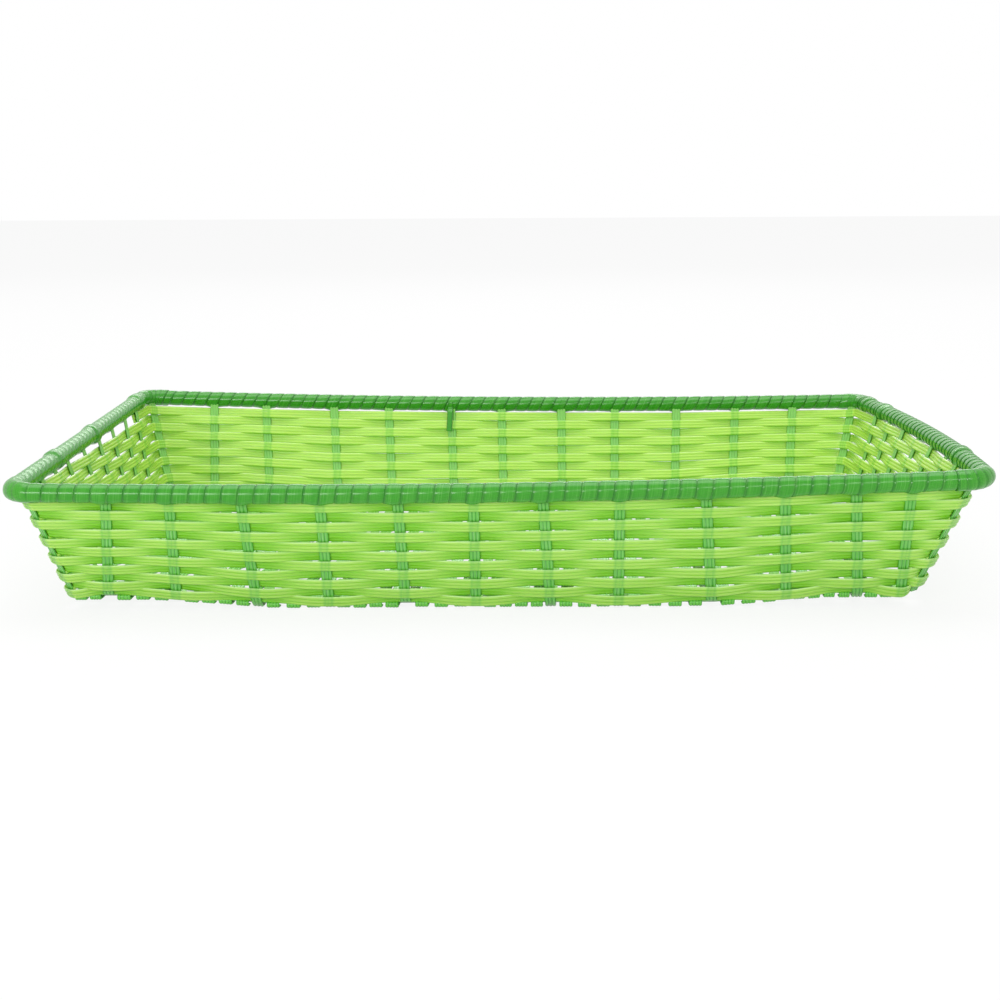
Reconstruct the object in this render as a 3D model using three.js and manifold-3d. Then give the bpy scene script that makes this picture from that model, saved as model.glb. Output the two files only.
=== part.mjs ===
// Rectangular storage tray woven from flat plastic strip, with a wire rim wrapped in strip.
// Upright stakes cross the base and rise up the walls, one long strip winds over and under
// them for eleven laps, and the stake tips hook over the rim wire under the wrapping.
// Millimetres, +X along the length, +Y to the rear, +Z up, standing on Z = 0.
import * as THREE from 'three';
import { mergeVertices } from 'three/addons/utils/BufferGeometryUtils.js';
import Module from 'manifold-3d';

// Rim
const rim_length = 441;
const rim_depth = 291;
const rim_level = 62.5;
const rim_corner_radius = 11.5;
const wire_diameter = 3;
const wrap_diameter = 9;
const wrap_thickness = 0.5;
const wrap_ridge = 0.25;
const wrap_turn = 7.3;
const wrap_slant = 0.8;
const tail_length = 17;
const tail_width = 3.2;
const tail_place = -31;

// Base and walls, measured on the middle surface of the weave
const base_length = 399;
const base_depth = 245;
const base_corner_radius = 9;
const bend_rise = 2;
const edge_rod_inset = 6.5;

// Strips
const stake_width = 5;
const stake_thickness = 1;
const weaver_width = 4.7;
const weaver_thickness = 1.2;
const weft_thickness = 0.8;
const clearance = 0.3;
const resting_margin = 0.3;
const crossing_margin = 1;
const loop_slack = 0.2;
const strip_end_reach = 5;

// Weave
const wall_rows = 11;
const first_row_level = 6.65;
const row_rise = 4.9;
const wefts_in_bays = [3, 4];
const wefts_per_end = 2;
const weft_fill = 0.8;

// Hand spacing of the stakes, as the gap from each to the next, left to right or front to rear
const front_bays = [28.4, 32.1, 36, 35.2, 34.5, 31.2, 35, 38.5, 35.8, 32, 25.2];
const front_base_bays = [32, 37.7, 34, 36, 33, 34.9, 31.9, 43.7, 34.7, 31.5, 15];
const rear_bays = [31.6, 41.4, 33.4, 38.3, 30.8, 36.5, 32.6, 37.6, 35.8, 35.1];
const rear_base_bays = [33.8, 41.9, 33, 37.5, 30.1, 35.7, 31.7, 36.1, 33.5, 31.5];
const left_bays = [23, 23, 24.5, 33, 34, 32, 33, 30];
const right_bays = [20, 20, 23.5, 35, 30, 34, 31, 29];
const end_base_bays = [19.5, 19.5, 20.5, 25.5, 23, 24, 25, 28.5];

// From each end of a side of the rim or of the base to the nearest stake
const front_margins = { start: 43.3, end: 33.8 };
const front_base_margins = { start: 19.5, end: 15 };
const rear_margins = { start: 44, end: 41.3 };
const rear_base_margins = { start: 27.6, end: 26.6 };
const left_margins = { start: 21, end: 37.5 };
const right_margins = { start: 21, end: 47.5 };
const end_base_margins = { start: 18.5, end: 41 };

// How the finished tray has relaxed out of true
const rim_sag = 2.9;
const rim_twist = 2.2;
const right_bow = 7;
const base_skew = 9;
const base_shift = -3;
const end_lift = 4;
const flat_length = 210;
const lifted_length = 310;

// Fineness of the round forms
const rim_sides = 8;
const wire_sides = 6;
const wire_corner_steps = 8;
const wrap_corner_steps = 4;
const rim_step = 75;
const hook_angles = [45, 90, 135, 160, 180];

// Derived sizes
const half_rim_length = rim_length / 2;
const half_rim_depth = rim_depth / 2;
const stake_seat = wire_diameter / 2 + 2 * clearance + stake_thickness / 2;
const cross_swing = stake_thickness + clearance + resting_margin;
const base_level = cross_swing + stake_thickness / 2;
const wall_height = rim_level - base_level;
const end_lean = Math.atan((half_rim_length - stake_seat - base_length / 2) / wall_height);
const side_lean = Math.atan((half_rim_depth - stake_seat - base_depth / 2) / wall_height);
const corner_lean = Math.atan(Math.hypot(Math.tan(end_lean), Math.tan(side_lean)));
const weaver_seat = stake_thickness / 2 + weaver_thickness / 2 + clearance;
const edge_rod_place = base_depth / 2 - edge_rod_inset;
const lift_start = flat_length / 2;
const lift_end = lifted_length / 2;
const weft_seat = stake_thickness / 2 + weft_thickness / 2 + clearance;
const facet_share = 0.25;
const facet_reach = 1 / Math.cos(facet_share * Math.PI / 2);

// Finishes
const finish = {
  weaver: { color: 0x95d043, roughness: 0.35, metalness: 0 },
  stake: { color: 0x62b35a, roughness: 0.35, metalness: 0 },
  weft: { color: 0x4fa23b, roughness: 0.4, metalness: 0 },
  wrap: { color: 0x459c2b, roughness: 0.3, metalness: 0 },
  wire: { color: 0xa7a9a6, roughness: 0.4, metalness: 1 },
};

const wasm = await Module();
wasm.setup();

const tray = new THREE.Group();
const UP = new THREE.Vector3(0, 0, 1);

function vector(x, y, z) {
  return new THREE.Vector3(x, y, z);
}

function mix(from, to, share) {
  return from + (to - from) * share;
}

function share_between(low, high, value) {
  return THREE.MathUtils.clamp((value - low) / (high - low), 0, 1);
}

// How far a strip swings from the wall's middle to lie on a stake, with the next one a bay away
function swing_over(seat, bay) {
  return seat / (1 - stake_width / bay);
}

// Places along a length centred on zero, between its margins, given the gaps between them
function spaced(length, margins, gaps) {
  const start = margins.start - length / 2;
  const end = length / 2 - margins.end;
  const total = gaps.reduce((sum, gap) => sum + gap, 0);
  const places = [start];
  for (const gap of gaps) {
    places.push(places[places.length - 1] + gap * (end - start) / total);
  }
  return places;
}

// Moves a point of the true shape to where it lies in the relaxed tray
function relax(point) {
  const height = share_between(base_level, rim_level, point.z);
  const wall = wall_at(mix(base_level, rim_level, height));
  const along = THREE.MathUtils.clamp(point.x / wall.half_length, -1, 1);
  const across = THREE.MathUtils.clamp(point.y / wall.half_depth, -1, 1);
  const bow = right_bow * Math.max(along, 0) ** 4 * (1 - across ** 2);
  const skew = base_skew * Math.max(along, 0) ** 4 * Math.max(across, 0) ** 2;
  const sag = rim_sag * (1 - along ** 2) * across ** 4;
  const lift = end_lift * share_between(lift_start, lift_end, Math.abs(point.x));
  return vector(
    point.x + bow + (base_shift + skew) * (1 - height) - right_bow / 2,
    point.y,
    point.z + lift * (1 - height) - (sag + rim_twist * along * across) * height,
  );
}

// A closed body over rings of points, with flat ends or joined end to end
function skin(rings, joined = false) {
  const count = rings[0].length;
  const faces = [];
  const last = joined ? rings.length : rings.length - 1;
  for (let i = 0; i < last; i += 1) {
    const here = i * count;
    const next = ((i + 1) % rings.length) * count;
    for (let j = 0; j < count; j += 1) {
      const k = (j + 1) % count;
      faces.push(here + j, here + k, next + k, here + j, next + k, next + j);
    }
  }
  if (!joined) {
    const end = (rings.length - 1) * count;
    for (let j = 1; j < count - 1; j += 1) {
      faces.push(0, j + 1, j);
      faces.push(end, end + j, end + j + 1);
    }
  }
  return body(rings.flat(), faces);
}

// A pipe open at both ends, over an outer and an inner list of rings
function pipe(outer, inner) {
  const count = outer[0].length;
  const start = outer.length * count;
  const faces = [];
  const side = (first, rings, inward) => {
    for (let i = 0; i < rings - 1; i += 1) {
      for (let j = 0; j < count; j += 1) {
        const k = (j + 1) % count;
        const here = first + i * count;
        const next = here + count;
        const quad = [here + j, here + k, next + k, here + j, next + k, next + j];
        faces.push(...(inward ? quad.reverse() : quad));
      }
    }
  };
  side(0, outer.length, false);
  side(start, inner.length, true);
  const outer_end = (outer.length - 1) * count;
  const inner_end = start + (inner.length - 1) * count;
  for (let j = 0; j < count; j += 1) {
    const k = (j + 1) % count;
    faces.push(j, start + j, start + k, j, start + k, k);
    faces.push(outer_end + j, outer_end + k, inner_end + k);
    faces.push(outer_end + j, inner_end + k, inner_end + j);
  }
  return body([...outer.flat(), ...inner.flat()], faces);
}

// Geometry from points and faces, relaxed, with its faces turned outward
function body(points, faces) {
  const relaxed = points.map(relax);
  let volume = 0;
  for (let i = 0; i < faces.length; i += 3) {
    const [a, b, c] = [relaxed[faces[i]], relaxed[faces[i + 1]], relaxed[faces[i + 2]]];
    volume += a.dot(b.clone().cross(c));
  }
  const geometry = new THREE.BufferGeometry();
  const flat = new Float32Array(relaxed.flatMap((point) => point.toArray()));
  geometry.setAttribute('position', new THREE.BufferAttribute(flat, 3));
  geometry.setIndex(volume < 0 ? faces.slice().reverse() : faces);
  return geometry;
}

// A flat strip through stations, each with a point and the direction of the strip's width
function ribbon(stations, width, thickness) {
  const rings = stations.map(({ at, across }, i) => {
    const before = i > 0 ? at.clone().sub(stations[i - 1].at).normalize() : null;
    const after = i < stations.length - 1 ? stations[i + 1].at.clone().sub(at).normalize() : null;
    const way = (before ?? after).clone().add(after ?? before).normalize();
    const mitre = way.dot(before ?? after);
    const side = across.clone().multiplyScalar(width / 2);
    const face = way.clone().cross(across).normalize().multiplyScalar(thickness / 2 / mitre);
    return [
      at.clone().add(side).add(face),
      at.clone().sub(side).add(face),
      at.clone().sub(side).sub(face),
      at.clone().add(side).sub(face),
    ];
  });
  return skin(rings);
}

function solid_of(geometry) {
  const bare = geometry.clone();
  bare.deleteAttribute('normal');
  bare.deleteAttribute('uv');
  const merged = mergeVertices(bare, 1e-5);
  return new wasm.Manifold(new wasm.Mesh({
    numProp: 3,
    vertProperties: new Float32Array(merged.attributes.position.array),
    triVerts: new Uint32Array(merged.index.array),
  }));
}

function geometry_of(solid) {
  const mesh = solid.getMesh();
  const geometry = new THREE.BufferGeometry();
  geometry.setAttribute('position', new THREE.BufferAttribute(new Float32Array(mesh.vertProperties), 3));
  geometry.setIndex(Array.from(mesh.triVerts));
  return geometry;
}

function add(name, geometry, look) {
  geometry.computeVertexNormals();
  const mesh = new THREE.Mesh(geometry, new THREE.MeshStandardMaterial(finish[look]));
  mesh.name = name;
  tray.add(mesh);
}

function numbered(name, number) {
  return `${name}_${String(number).padStart(2, '0')}`;
}

// The four sides in the order the strip winds round them, seen from above anticlockwise
const sides = {
  front: { along: vector(1, 0, 0), out: vector(0, -1, 0), lean: side_lean, turn: 0 },
  right: { along: vector(0, 1, 0), out: vector(1, 0, 0), lean: end_lean, turn: 1 },
  rear: { along: vector(-1, 0, 0), out: vector(0, 1, 0), lean: side_lean, turn: 2 },
  left: { along: vector(0, -1, 0), out: vector(-1, 0, 0), lean: end_lean, turn: 3 },
};

function is_end(side) {
  return side.turn % 2 === 1;
}

// Half length, half depth and corner radius of the walls' middle surface at a level
function wall_at(level) {
  const share = (level - base_level) / wall_height;
  return {
    half_length: mix(base_length / 2, half_rim_length - stake_seat, share),
    half_depth: mix(base_depth / 2, half_rim_depth - stake_seat, share),
    corner: mix(base_corner_radius, rim_corner_radius - stake_seat, share),
    share,
  };
}

// A point of the wall with its outward and upward directions
function wall_frame(point, out, lean) {
  return {
    point,
    out: out.clone().multiplyScalar(Math.cos(lean)).addScaledVector(UP, -Math.sin(lean)),
    up: out.clone().multiplyScalar(Math.sin(lean)).addScaledVector(UP, Math.cos(lean)),
  };
}

// A stake's place on a side, which may lean from its place at the base to that at the rim
function stake_place(side, base_place, rim_place) {
  return (level) => {
    const wall = wall_at(level);
    const distance = is_end(side) ? wall.half_length : wall.half_depth;
    const point = side.out.clone().multiplyScalar(distance);
    point.addScaledVector(side.along, mix(base_place, rim_place, wall.share));
    point.z = level;
    return wall_frame(point, side.out, side.lean);
  };
}

// A place on the corner that follows a side, on the facet across it where the corner's stake stands
function corner_place(side, next, share) {
  const angle = share * Math.PI / 2;
  const reach = 1 / Math.cos((share - 0.5) * Math.PI / 2);
  const out = side.out.clone().multiplyScalar(Math.cos(angle)).addScaledVector(side.along, Math.sin(angle));
  return (level) => {
    const wall = wall_at(level);
    const point = vector(
      Math.sign(side.out.x + next.out.x) * (wall.half_length - wall.corner),
      Math.sign(side.out.y + next.out.y) * (wall.half_depth - wall.corner),
      level,
    );
    point.addScaledVector(out, reach * wall.corner);
    return wall_frame(point, out, corner_lean);
  };
}

// Where the stakes stand along each side, in the direction of winding
const front_places_rim = spaced(rim_length, front_margins, front_bays);
const front_places = spaced(base_length, front_base_margins, front_base_bays);
const rear_places_rim = spaced(rim_length, rear_margins, rear_bays);
const rear_places = spaced(base_length, rear_base_margins, rear_base_bays);
const left_places_rim = spaced(rim_depth, left_margins, left_bays);
const right_places_rim = spaced(rim_depth, right_margins, right_bays);
const end_places = spaced(base_depth, end_base_margins, end_base_bays);

const front_stakes = front_places.map((x, i) => stake_place(sides.front, x, front_places_rim[i]));
const right_stakes = end_places.map((y, i) => stake_place(sides.right, y, right_places_rim[i]));
const rear_stakes = rear_places.map((x, i) => stake_place(sides.rear, -x, -rear_places_rim[i]));
const left_stakes = end_places.map((y, i) => stake_place(sides.left, -y, -left_places_rim[i]));

// The place where the strip is cut off, a little past the first left stake that it meets
function strip_end() {
  const last = end_places.length - 1;
  const place = -end_places[last] + strip_end_reach;
  return stake_place(sides.left, place, -left_places_rim[last] + strip_end_reach);
}

// Every place that the winding strip passes in one lap, starting left of the first front stake,
// with the running number of the stake there. It runs level on three sides and climbs to the next
// row along the left side. The last lap ends a little past the first left stake that it meets.
function lap_places(row) {
  const places = [];
  let number = 0;
  const put = (at, climb, details = {}) => {
    const level = first_row_level + row_rise * (row + climb);
    places.push({ frame: at(level), ...details });
  };
  const pass = (at, climb) => {
    put(at, climb, { stake: number });
    number += 1;
  };
  const bend = (side, next, climb) => {
    for (const share of [facet_share, 1 - facet_share]) {
      put(corner_place(side, next, share), climb, { stake: number, facet: true });
    }
    number += 1;
  };
  const start = stake_place(
    sides.front,
    mix(front_places[0], base_corner_radius - base_length / 2, 0.5),
    mix(front_places_rim[0], rim_corner_radius - half_rim_length, 0.5),
  );
  put(start, 0);
  front_stakes.forEach((at) => pass(at, 0));
  bend(sides.front, sides.right, 0);
  right_stakes.forEach((at) => pass(at, 0));
  bend(sides.right, sides.rear, 0);
  rear_stakes.slice().reverse().forEach((at) => pass(at, 0));
  bend(sides.rear, sides.left, 0);
  const last = left_stakes.length - 1;
  for (let i = last; i >= 0; i -= 1) {
    pass(left_stakes[i], 1 - i / last);
    if (row === wall_rows - 1 && i === last) {
      put(strip_end(), 0, { cut: true });
    }
  }
  bend(sides.left, sides.front, 1);
  put(start, 1);
  return places;
}

// Adds to each place its distance round the lap and the swing there, outward where positive
function measured_lap(row) {
  const places = lap_places(row);
  let distance = 0;
  places.forEach((place, i) => {
    if (i > 0) {
      distance += place.frame.point.distanceTo(places[i - 1].frame.point);
    }
    place.distance = distance;
  });
  const stakes = places.filter((place) => place.stake !== undefined);
  const final = stakes.length - 1;
  const before = { distance: stakes[final].distance - distance };
  const after = { distance: stakes[0].distance + distance };
  stakes.forEach((place, i) => {
    const last = stakes.slice(0, i).reverse().find((other) => other.stake !== place.stake) ?? before;
    const next = stakes.slice(i + 1).find((other) => other.stake !== place.stake) ?? after;
    const bay = Math.min(place.distance - last.distance, next.distance - place.distance);
    const swing = place.facet ? weaver_seat * facet_reach : swing_over(weaver_seat, bay);
    place.swing = place.stake % 2 === 0 ? -swing : swing;
  });
  before.swing = -stakes[0].swing;
  after.swing = -stakes[final].swing;
  const known = [before, ...stakes, after];
  for (const place of places.filter((each) => each.stake === undefined)) {
    const next = known.findIndex((each) => each.distance > place.distance);
    const [low, high] = [known[next - 1], known[next]];
    const share = (place.distance - low.distance) / (high.distance - low.distance);
    place.swing = mix(low.swing, high.swing, share);
  }
  return places;
}

// One lap of the winding strip
function weaver_lap(row) {
  const phase = row % 2 === 0 ? 1 : -1;
  const lap = measured_lap(row);
  const cut = lap.findIndex((place) => place.cut);
  const kept = row < wall_rows - 1 ? lap : lap.slice(0, cut + 1);
  const stations = kept.map(({ frame, swing }) => ({
    at: frame.point.clone().addScaledVector(frame.out, phase * swing),
    across: frame.up,
  }));
  stations[0].at.addScaledVector(sides.front.along, clearance);
  if (kept === lap) {
    stations[kept.length - 1].at.addScaledVector(sides.front.along, -clearance);
  }
  return ribbon(stations, weaver_width, weaver_thickness);
}

function make_weaver() {
  for (let row = 0; row < wall_rows; row += 1) {
    add(numbered('weaver_lap', row + 1), weaver_lap(row), 'weaver');
  }
}

// The hooked tip of a stake over the rim wire, from its free end down to the wall
function hook(place, side) {
  const wire = place(rim_level).point.clone().addScaledVector(side.out, stake_seat);
  const points = [];
  for (const degrees of hook_angles) {
    const angle = degrees * Math.PI / 180;
    points.push(wire.clone()
      .addScaledVector(side.out, stake_seat * Math.cos(angle))
      .addScaledVector(UP, stake_seat * Math.sin(angle)));
  }
  points.push(place(base_level + bend_rise).point);
  return points;
}

function stations_of(points, across) {
  return points.map((at) => ({ at, across }));
}

// Points of a front to rear strip over and under the long stakes, flat where a stake lies under it
function crossing_points(front_x, rear_x, first_side) {
  const reach = base_depth / 2;
  const x_at = (y) => mix(front_x, rear_x, (y + reach) / base_depth);
  const flat = stake_width / 2 + crossing_margin;
  const points = [];
  const front_end = -edge_rod_place - flat;
  const rear_end = edge_rod_place + flat;
  points.push(vector(x_at(front_end), front_end, base_level + first_side * cross_swing));
  end_places.forEach((y, i) => {
    const side = first_side * (i % 2 === 0 ? 1 : -1);
    const z = base_level + side * cross_swing;
    if (i > 0) {
      points.push(vector(x_at(y - flat), y - flat, z));
    }
    if (i < end_places.length - 1) {
      points.push(vector(x_at(y + flat), y + flat, z));
    }
  });
  points.push(vector(x_at(rear_end), rear_end, base_level + first_side * cross_swing));
  return points;
}

// How many wefts lie between a cross stake and the next
function wefts_after(index) {
  return index < rear_stakes.length - 1 ? wefts_in_bays[index % wefts_in_bays.length] : wefts_per_end;
}

// The side of the long stakes on which a cross stake starts, 1 over or -1 under, so that
// neighbouring strips alternate right across the base
function cross_stake_side(index) {
  let side = 1;
  for (let i = 0; i < index; i += 1) {
    side *= wefts_after(i) % 2 === 0 ? -1 : 1;
  }
  return side;
}

function make_cross_stakes() {
  rear_stakes.forEach((rear, i) => {
    const points = [
      ...hook(front_stakes[i], sides.front),
      ...crossing_points(front_places[i], rear_places[i], cross_stake_side(i)),
      ...hook(rear, sides.rear).reverse(),
    ];
    const geometry = ribbon(stations_of(points, vector(1, 0, 0)), stake_width, stake_thickness);
    add(numbered('cross_stake', i + 1), geometry, 'stake');
  });
}

// The odd stake stands on the front wall alone, so that one strip can wind every row
function make_odd_stake() {
  const last = front_stakes.length - 1;
  const side = cross_stake_side(last);
  const x = front_places[last];
  const level = base_level + side * cross_swing;
  const points = [
    ...hook(front_stakes[last], sides.front),
    vector(x, -edge_rod_place - stake_width / 2 - crossing_margin, level),
    vector(x, end_places[0] + stake_width / 2 + 2 * crossing_margin, level),
  ];
  add('odd_stake', ribbon(stations_of(points, vector(1, 0, 0)), stake_width, stake_thickness), 'stake');
}

function make_long_stakes() {
  right_stakes.forEach((right, i) => {
    const bends = [-lift_end, -lift_start, lift_start, lift_end];
    const ends = base_length / 2 - bend_rise;
    const points = [
      ...hook(left_stakes[i], sides.left),
      ...[-ends, ...bends, ends].map((x) => vector(x, end_places[i], base_level)),
      ...hook(right, sides.right).reverse(),
    ];
    const geometry = ribbon(stations_of(points, vector(0, 1, 0)), stake_width, stake_thickness);
    add(numbered('long_stake', i + 1), geometry, 'stake');
  });
}

// A short stake in each corner, pushed down into the wall as far as the base
function make_corner_stakes() {
  const order = Object.entries(sides);
  order.forEach(([name, side], i) => {
    const [next_name, next] = order[(i + 1) % order.length];
    const { out, along } = rim_on_corner(side, next, 0.5);
    const points = hook(corner_place(side, next, 0.5), { out });
    const geometry = ribbon(stations_of(points, along), stake_width, stake_thickness);
    add(`corner_stake_${name}_${next_name}`, geometry, 'stake');
  });
}

// Flat rods along the front and rear edges of the base, which the wefts turn round
function make_edge_rods() {
  const reach = base_length / 2 - base_corner_radius / 2;
  for (const [name, y] of [['base_edge_front', -edge_rod_place], ['base_edge_rear', edge_rod_place]]) {
    const points = [-reach, -lift_end, -lift_start, lift_start, lift_end, reach]
      .map((x) => vector(x, y, base_level));
    add(name, ribbon(stations_of(points, vector(0, 1, 0)), stake_width, stake_thickness), 'stake');
  }
}

// One weft strip, running front to rear and back between two neighbouring stakes
function weft_points(count, left_edge, right_edge, first_side) {
  const turn_reach = edge_rod_place + stake_width / 2;
  const high = stake_thickness / 2 + clearance + weft_thickness / 2 + loop_slack / 2;
  const points = [];
  for (let index = 0; index < count; index += 1) {
    const x_at = (y) => mix(left_edge(y), right_edge(y), (index + 0.5) / count);
    const next_x_at = (y) => mix(left_edge(y), right_edge(y), (index + 1.5) / count);
    const forward = index % 2 === 0;
    const side_here = first_side * (forward ? 1 : -1);
    const end = forward ? 1 : -1;
    if (index === 0) {
      points.push(vector(x_at(-turn_reach), -turn_reach, base_level + side_here * high));
    }
    const passes = end_places.map((y, i) => {
      const bays = [end_places[i - 1], end_places[i + 1]].map((other) => Math.abs((other ?? Infinity) - y));
      const side = side_here * (i % 2 === 0 ? 1 : -1);
      return vector(x_at(y), y, base_level + side * swing_over(weft_seat, Math.min(...bays)));
    });
    points.push(...(forward ? passes : passes.reverse()));
    const y = end * (turn_reach + loop_slack);
    points.push(vector(x_at(y), y, base_level + side_here * high));
    if (index < count - 1) {
      const y_turn = end * (turn_reach + clearance + weft_thickness / 2 + 3 * loop_slack);
      for (const [share, way] of [[1 / 3, 1], [2 / 3, -1]]) {
        const x = mix(x_at(y_turn), next_x_at(y_turn), share);
        points.push(vector(x, y_turn, base_level + way * side_here * high / 2));
      }
      points.push(vector(next_x_at(y), y, base_level - side_here * high));
    }
  }
  return points;
}

function make_wefts() {
  const reach = base_depth / 2;
  const half_gap = stake_width / 2 + clearance;
  const stake_line = (i) => (y) => mix(front_places[i], rear_places[i], (y + reach) / base_depth);
  const end_line = base_length / 2 - bend_rise - stake_thickness - 2 * clearance;
  const beside_odd = front_places[front_places.length - 1] - half_gap - clearance;
  const bays = [];
  bays.push({
    count: wefts_per_end,
    left: () => -end_line,
    right: (y) => stake_line(0)(y) - half_gap,
    side: -cross_stake_side(0) * (wefts_per_end % 2 === 0 ? -1 : 1),
  });
  for (let i = 0; i < rear_stakes.length - 1; i += 1) {
    bays.push({
      count: wefts_after(i),
      left: (y) => stake_line(i)(y) + half_gap,
      right: (y) => stake_line(i + 1)(y) - half_gap,
      side: -cross_stake_side(i),
    });
  }
  const last = rear_stakes.length - 1;
  bays.push({
    count: wefts_per_end,
    left: (y) => stake_line(last)(y) + half_gap,
    right: (y) => mix(beside_odd, end_line, (y + reach) / base_depth),
    side: -cross_stake_side(last),
  });
  bays.forEach((bay, i) => {
    const gaps = [-reach, reach].map((y) => bay.right(y) - bay.left(y));
    const width = weft_fill * Math.min(...gaps) / bay.count;
    const points = weft_points(bay.count, bay.left, bay.right, bay.side);
    const geometry = ribbon(stations_of(points, vector(1, 0, 0)), width, weft_thickness);
    add(numbered('base_weft', i + 1), geometry, 'weft');
  });
}

// A ring of points round the rim's middle line
function rim_ring(middle, out, radius, along, slant, count = rim_sides) {
  const ring = [];
  for (let i = 0; i < count; i += 1) {
    const angle = (i + 0.5) * 2 * Math.PI / count;
    ring.push(middle.clone()
      .addScaledVector(out, radius * Math.cos(angle))
      .addScaledVector(UP, radius * Math.sin(angle))
      .addScaledVector(along, slant * Math.cos(angle)));
  }
  return ring;
}

// A place on the rim's middle line, on a straight side or on the corner after it
function rim_on_side(side, distance) {
  const middle = side.out.clone().multiplyScalar(is_end(side) ? half_rim_length : half_rim_depth);
  middle.addScaledVector(side.along, distance);
  middle.z = rim_level;
  return { middle, out: side.out, along: side.along };
}

function rim_on_corner(side, next, share) {
  const angle = share * Math.PI / 2;
  const out = side.out.clone().multiplyScalar(Math.cos(angle)).addScaledVector(side.along, Math.sin(angle));
  const along = side.along.clone().multiplyScalar(Math.cos(angle)).addScaledVector(side.out, -Math.sin(angle));
  const middle = vector(
    Math.sign(side.out.x + next.out.x) * (half_rim_length - rim_corner_radius),
    Math.sign(side.out.y + next.out.y) * (half_rim_depth - rim_corner_radius),
    rim_level,
  );
  middle.addScaledVector(out, rim_corner_radius);
  return { middle, out, along };
}

function straight_half(side) {
  return (is_end(side) ? half_rim_depth : half_rim_length) - rim_corner_radius;
}

function make_rim_wire() {
  const rings = [];
  const order = Object.values(sides);
  const ring_at = (place) => rim_ring(place.middle, place.out, wire_diameter / 2, place.along, 0, wire_sides);
  order.forEach((side, i) => {
    const next = order[(i + 1) % order.length];
    const half = straight_half(side);
    const steps = Math.round(2 * half / rim_step);
    for (let step = 0; step < steps; step += 1) {
      rings.push(ring_at(rim_on_side(side, mix(-half, half, step / steps))));
    }
    for (let step = 0; step < wire_corner_steps; step += 1) {
      rings.push(ring_at(rim_on_corner(side, next, step / wire_corner_steps)));
    }
  });
  add('rim_wire', skin(rings, true), 'wire');
}

// The wrapping round the wire along one side, with a ridge for each lapped pair of turns
function side_wrap(side) {
  const half = straight_half(side) - clearance / 2;
  const turns = 2 * Math.round(half / wrap_turn);
  const outer = [];
  const inner = [];
  for (let i = 0; i <= turns; i += 1) {
    const place = rim_on_side(side, mix(-half, half, i / turns));
    const at_end = i === 0 || i === turns;
    const radius = wrap_diameter / 2 - (i % 2 === 0 ? wrap_ridge : 0);
    outer.push(rim_ring(place.middle, place.out, radius, place.along, at_end ? 0 : wrap_slant));
  }
  const steps = Math.round(2 * half / rim_step);
  for (let i = 0; i <= steps; i += 1) {
    const place = rim_on_side(side, mix(-half, half, i / steps));
    inner.push(rim_ring(place.middle, place.out, wrap_diameter / 2 - wrap_thickness, place.along, 0));
  }
  return pipe(outer, inner);
}

// The slot that a stake needs where it passes through the wrapping
function wrap_slot(place, across) {
  const points = [place(rim_level - wrap_diameter).point, place(rim_level - clearance).point];
  return ribbon(stations_of(points, across), stake_width + 2 * clearance, stake_thickness + 2 * clearance);
}

function make_side_wraps() {
  const stakes = { front: front_stakes, right: right_stakes, rear: rear_stakes, left: left_stakes };
  for (const [name, side] of Object.entries(sides)) {
    let wrap = solid_of(side_wrap(side));
    for (const place of stakes[name]) {
      wrap = wrap.subtract(solid_of(wrap_slot(place, side.along)));
    }
    add(`rim_wrap_${name}`, geometry_of(wrap), 'wrap');
  }
}

function make_corner_wraps() {
  const order = Object.entries(sides);
  order.forEach(([name, side], i) => {
    const [next_name, next] = order[(i + 1) % order.length];
    const margin = clearance / 2 / rim_corner_radius;
    const outer = [];
    const inner = [];
    for (let step = 0; step <= wrap_corner_steps; step += 1) {
      const share = mix(margin, 1 - margin, step / wrap_corner_steps);
      const place = rim_on_corner(side, next, share);
      const radius = wrap_diameter / 2 - (step % 2 === 0 ? wrap_ridge : 0);
      outer.push(rim_ring(place.middle, place.out, radius, place.along, 0));
      inner.push(rim_ring(place.middle, place.out, wrap_diameter / 2 - wrap_thickness, place.along, 0));
    }
    const slot = wrap_slot(corner_place(side, next, 0.5), rim_on_corner(side, next, 0.5).along);
    const wrap = solid_of(pipe(outer, inner)).subtract(solid_of(slot));
    add(`rim_wrap_corner_${name}_${next_name}`, geometry_of(wrap), 'wrap');
  });
}

// The loose end of the wrapping strip, hanging down inside the rear wall
function make_wrap_tail() {
  const gap = clearance + wrap_thickness / 2;
  const reach = wrap_diameter / 2 + gap;
  const wire = rim_on_side(sides.rear, -tail_place).middle;
  const inward = sides.rear.out.clone().negate();
  const inward_reach = swing_over(weaver_seat, Math.min(...rear_bays));
  const beside_wall = (level) => {
    const frame = stake_place(sides.rear, -tail_place, -tail_place)(level);
    return frame.point.addScaledVector(frame.out, -inward_reach - weaver_thickness / 2 - gap);
  };
  const points = [
    wire.clone().addScaledVector(inward, reach),
    beside_wall(rim_level - wrap_diameter / 2),
    beside_wall(rim_level - tail_length),
  ];
  add('wrap_tail', ribbon(stations_of(points, vector(1, 0, 0)), tail_width, wrap_thickness), 'wrap');
}

make_cross_stakes();
make_odd_stake();
make_long_stakes();
make_corner_stakes();
make_edge_rods();
make_wefts();
make_weaver();
make_rim_wire();
make_side_wraps();
make_corner_wraps();
make_wrap_tail();

export default tray;
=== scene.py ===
"""Looks for the woven plastic tray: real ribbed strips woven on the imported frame, a wound rim,
procedural plastics, a plain pale floor and soft studio light. The tray's sizes are millimetres and
its meshes are written in metres. The floor, the lamps and the camera are in metres."""
import math
from types import SimpleNamespace

import bpy
import numpy as np
from mathutils import Matrix, Vector


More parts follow.
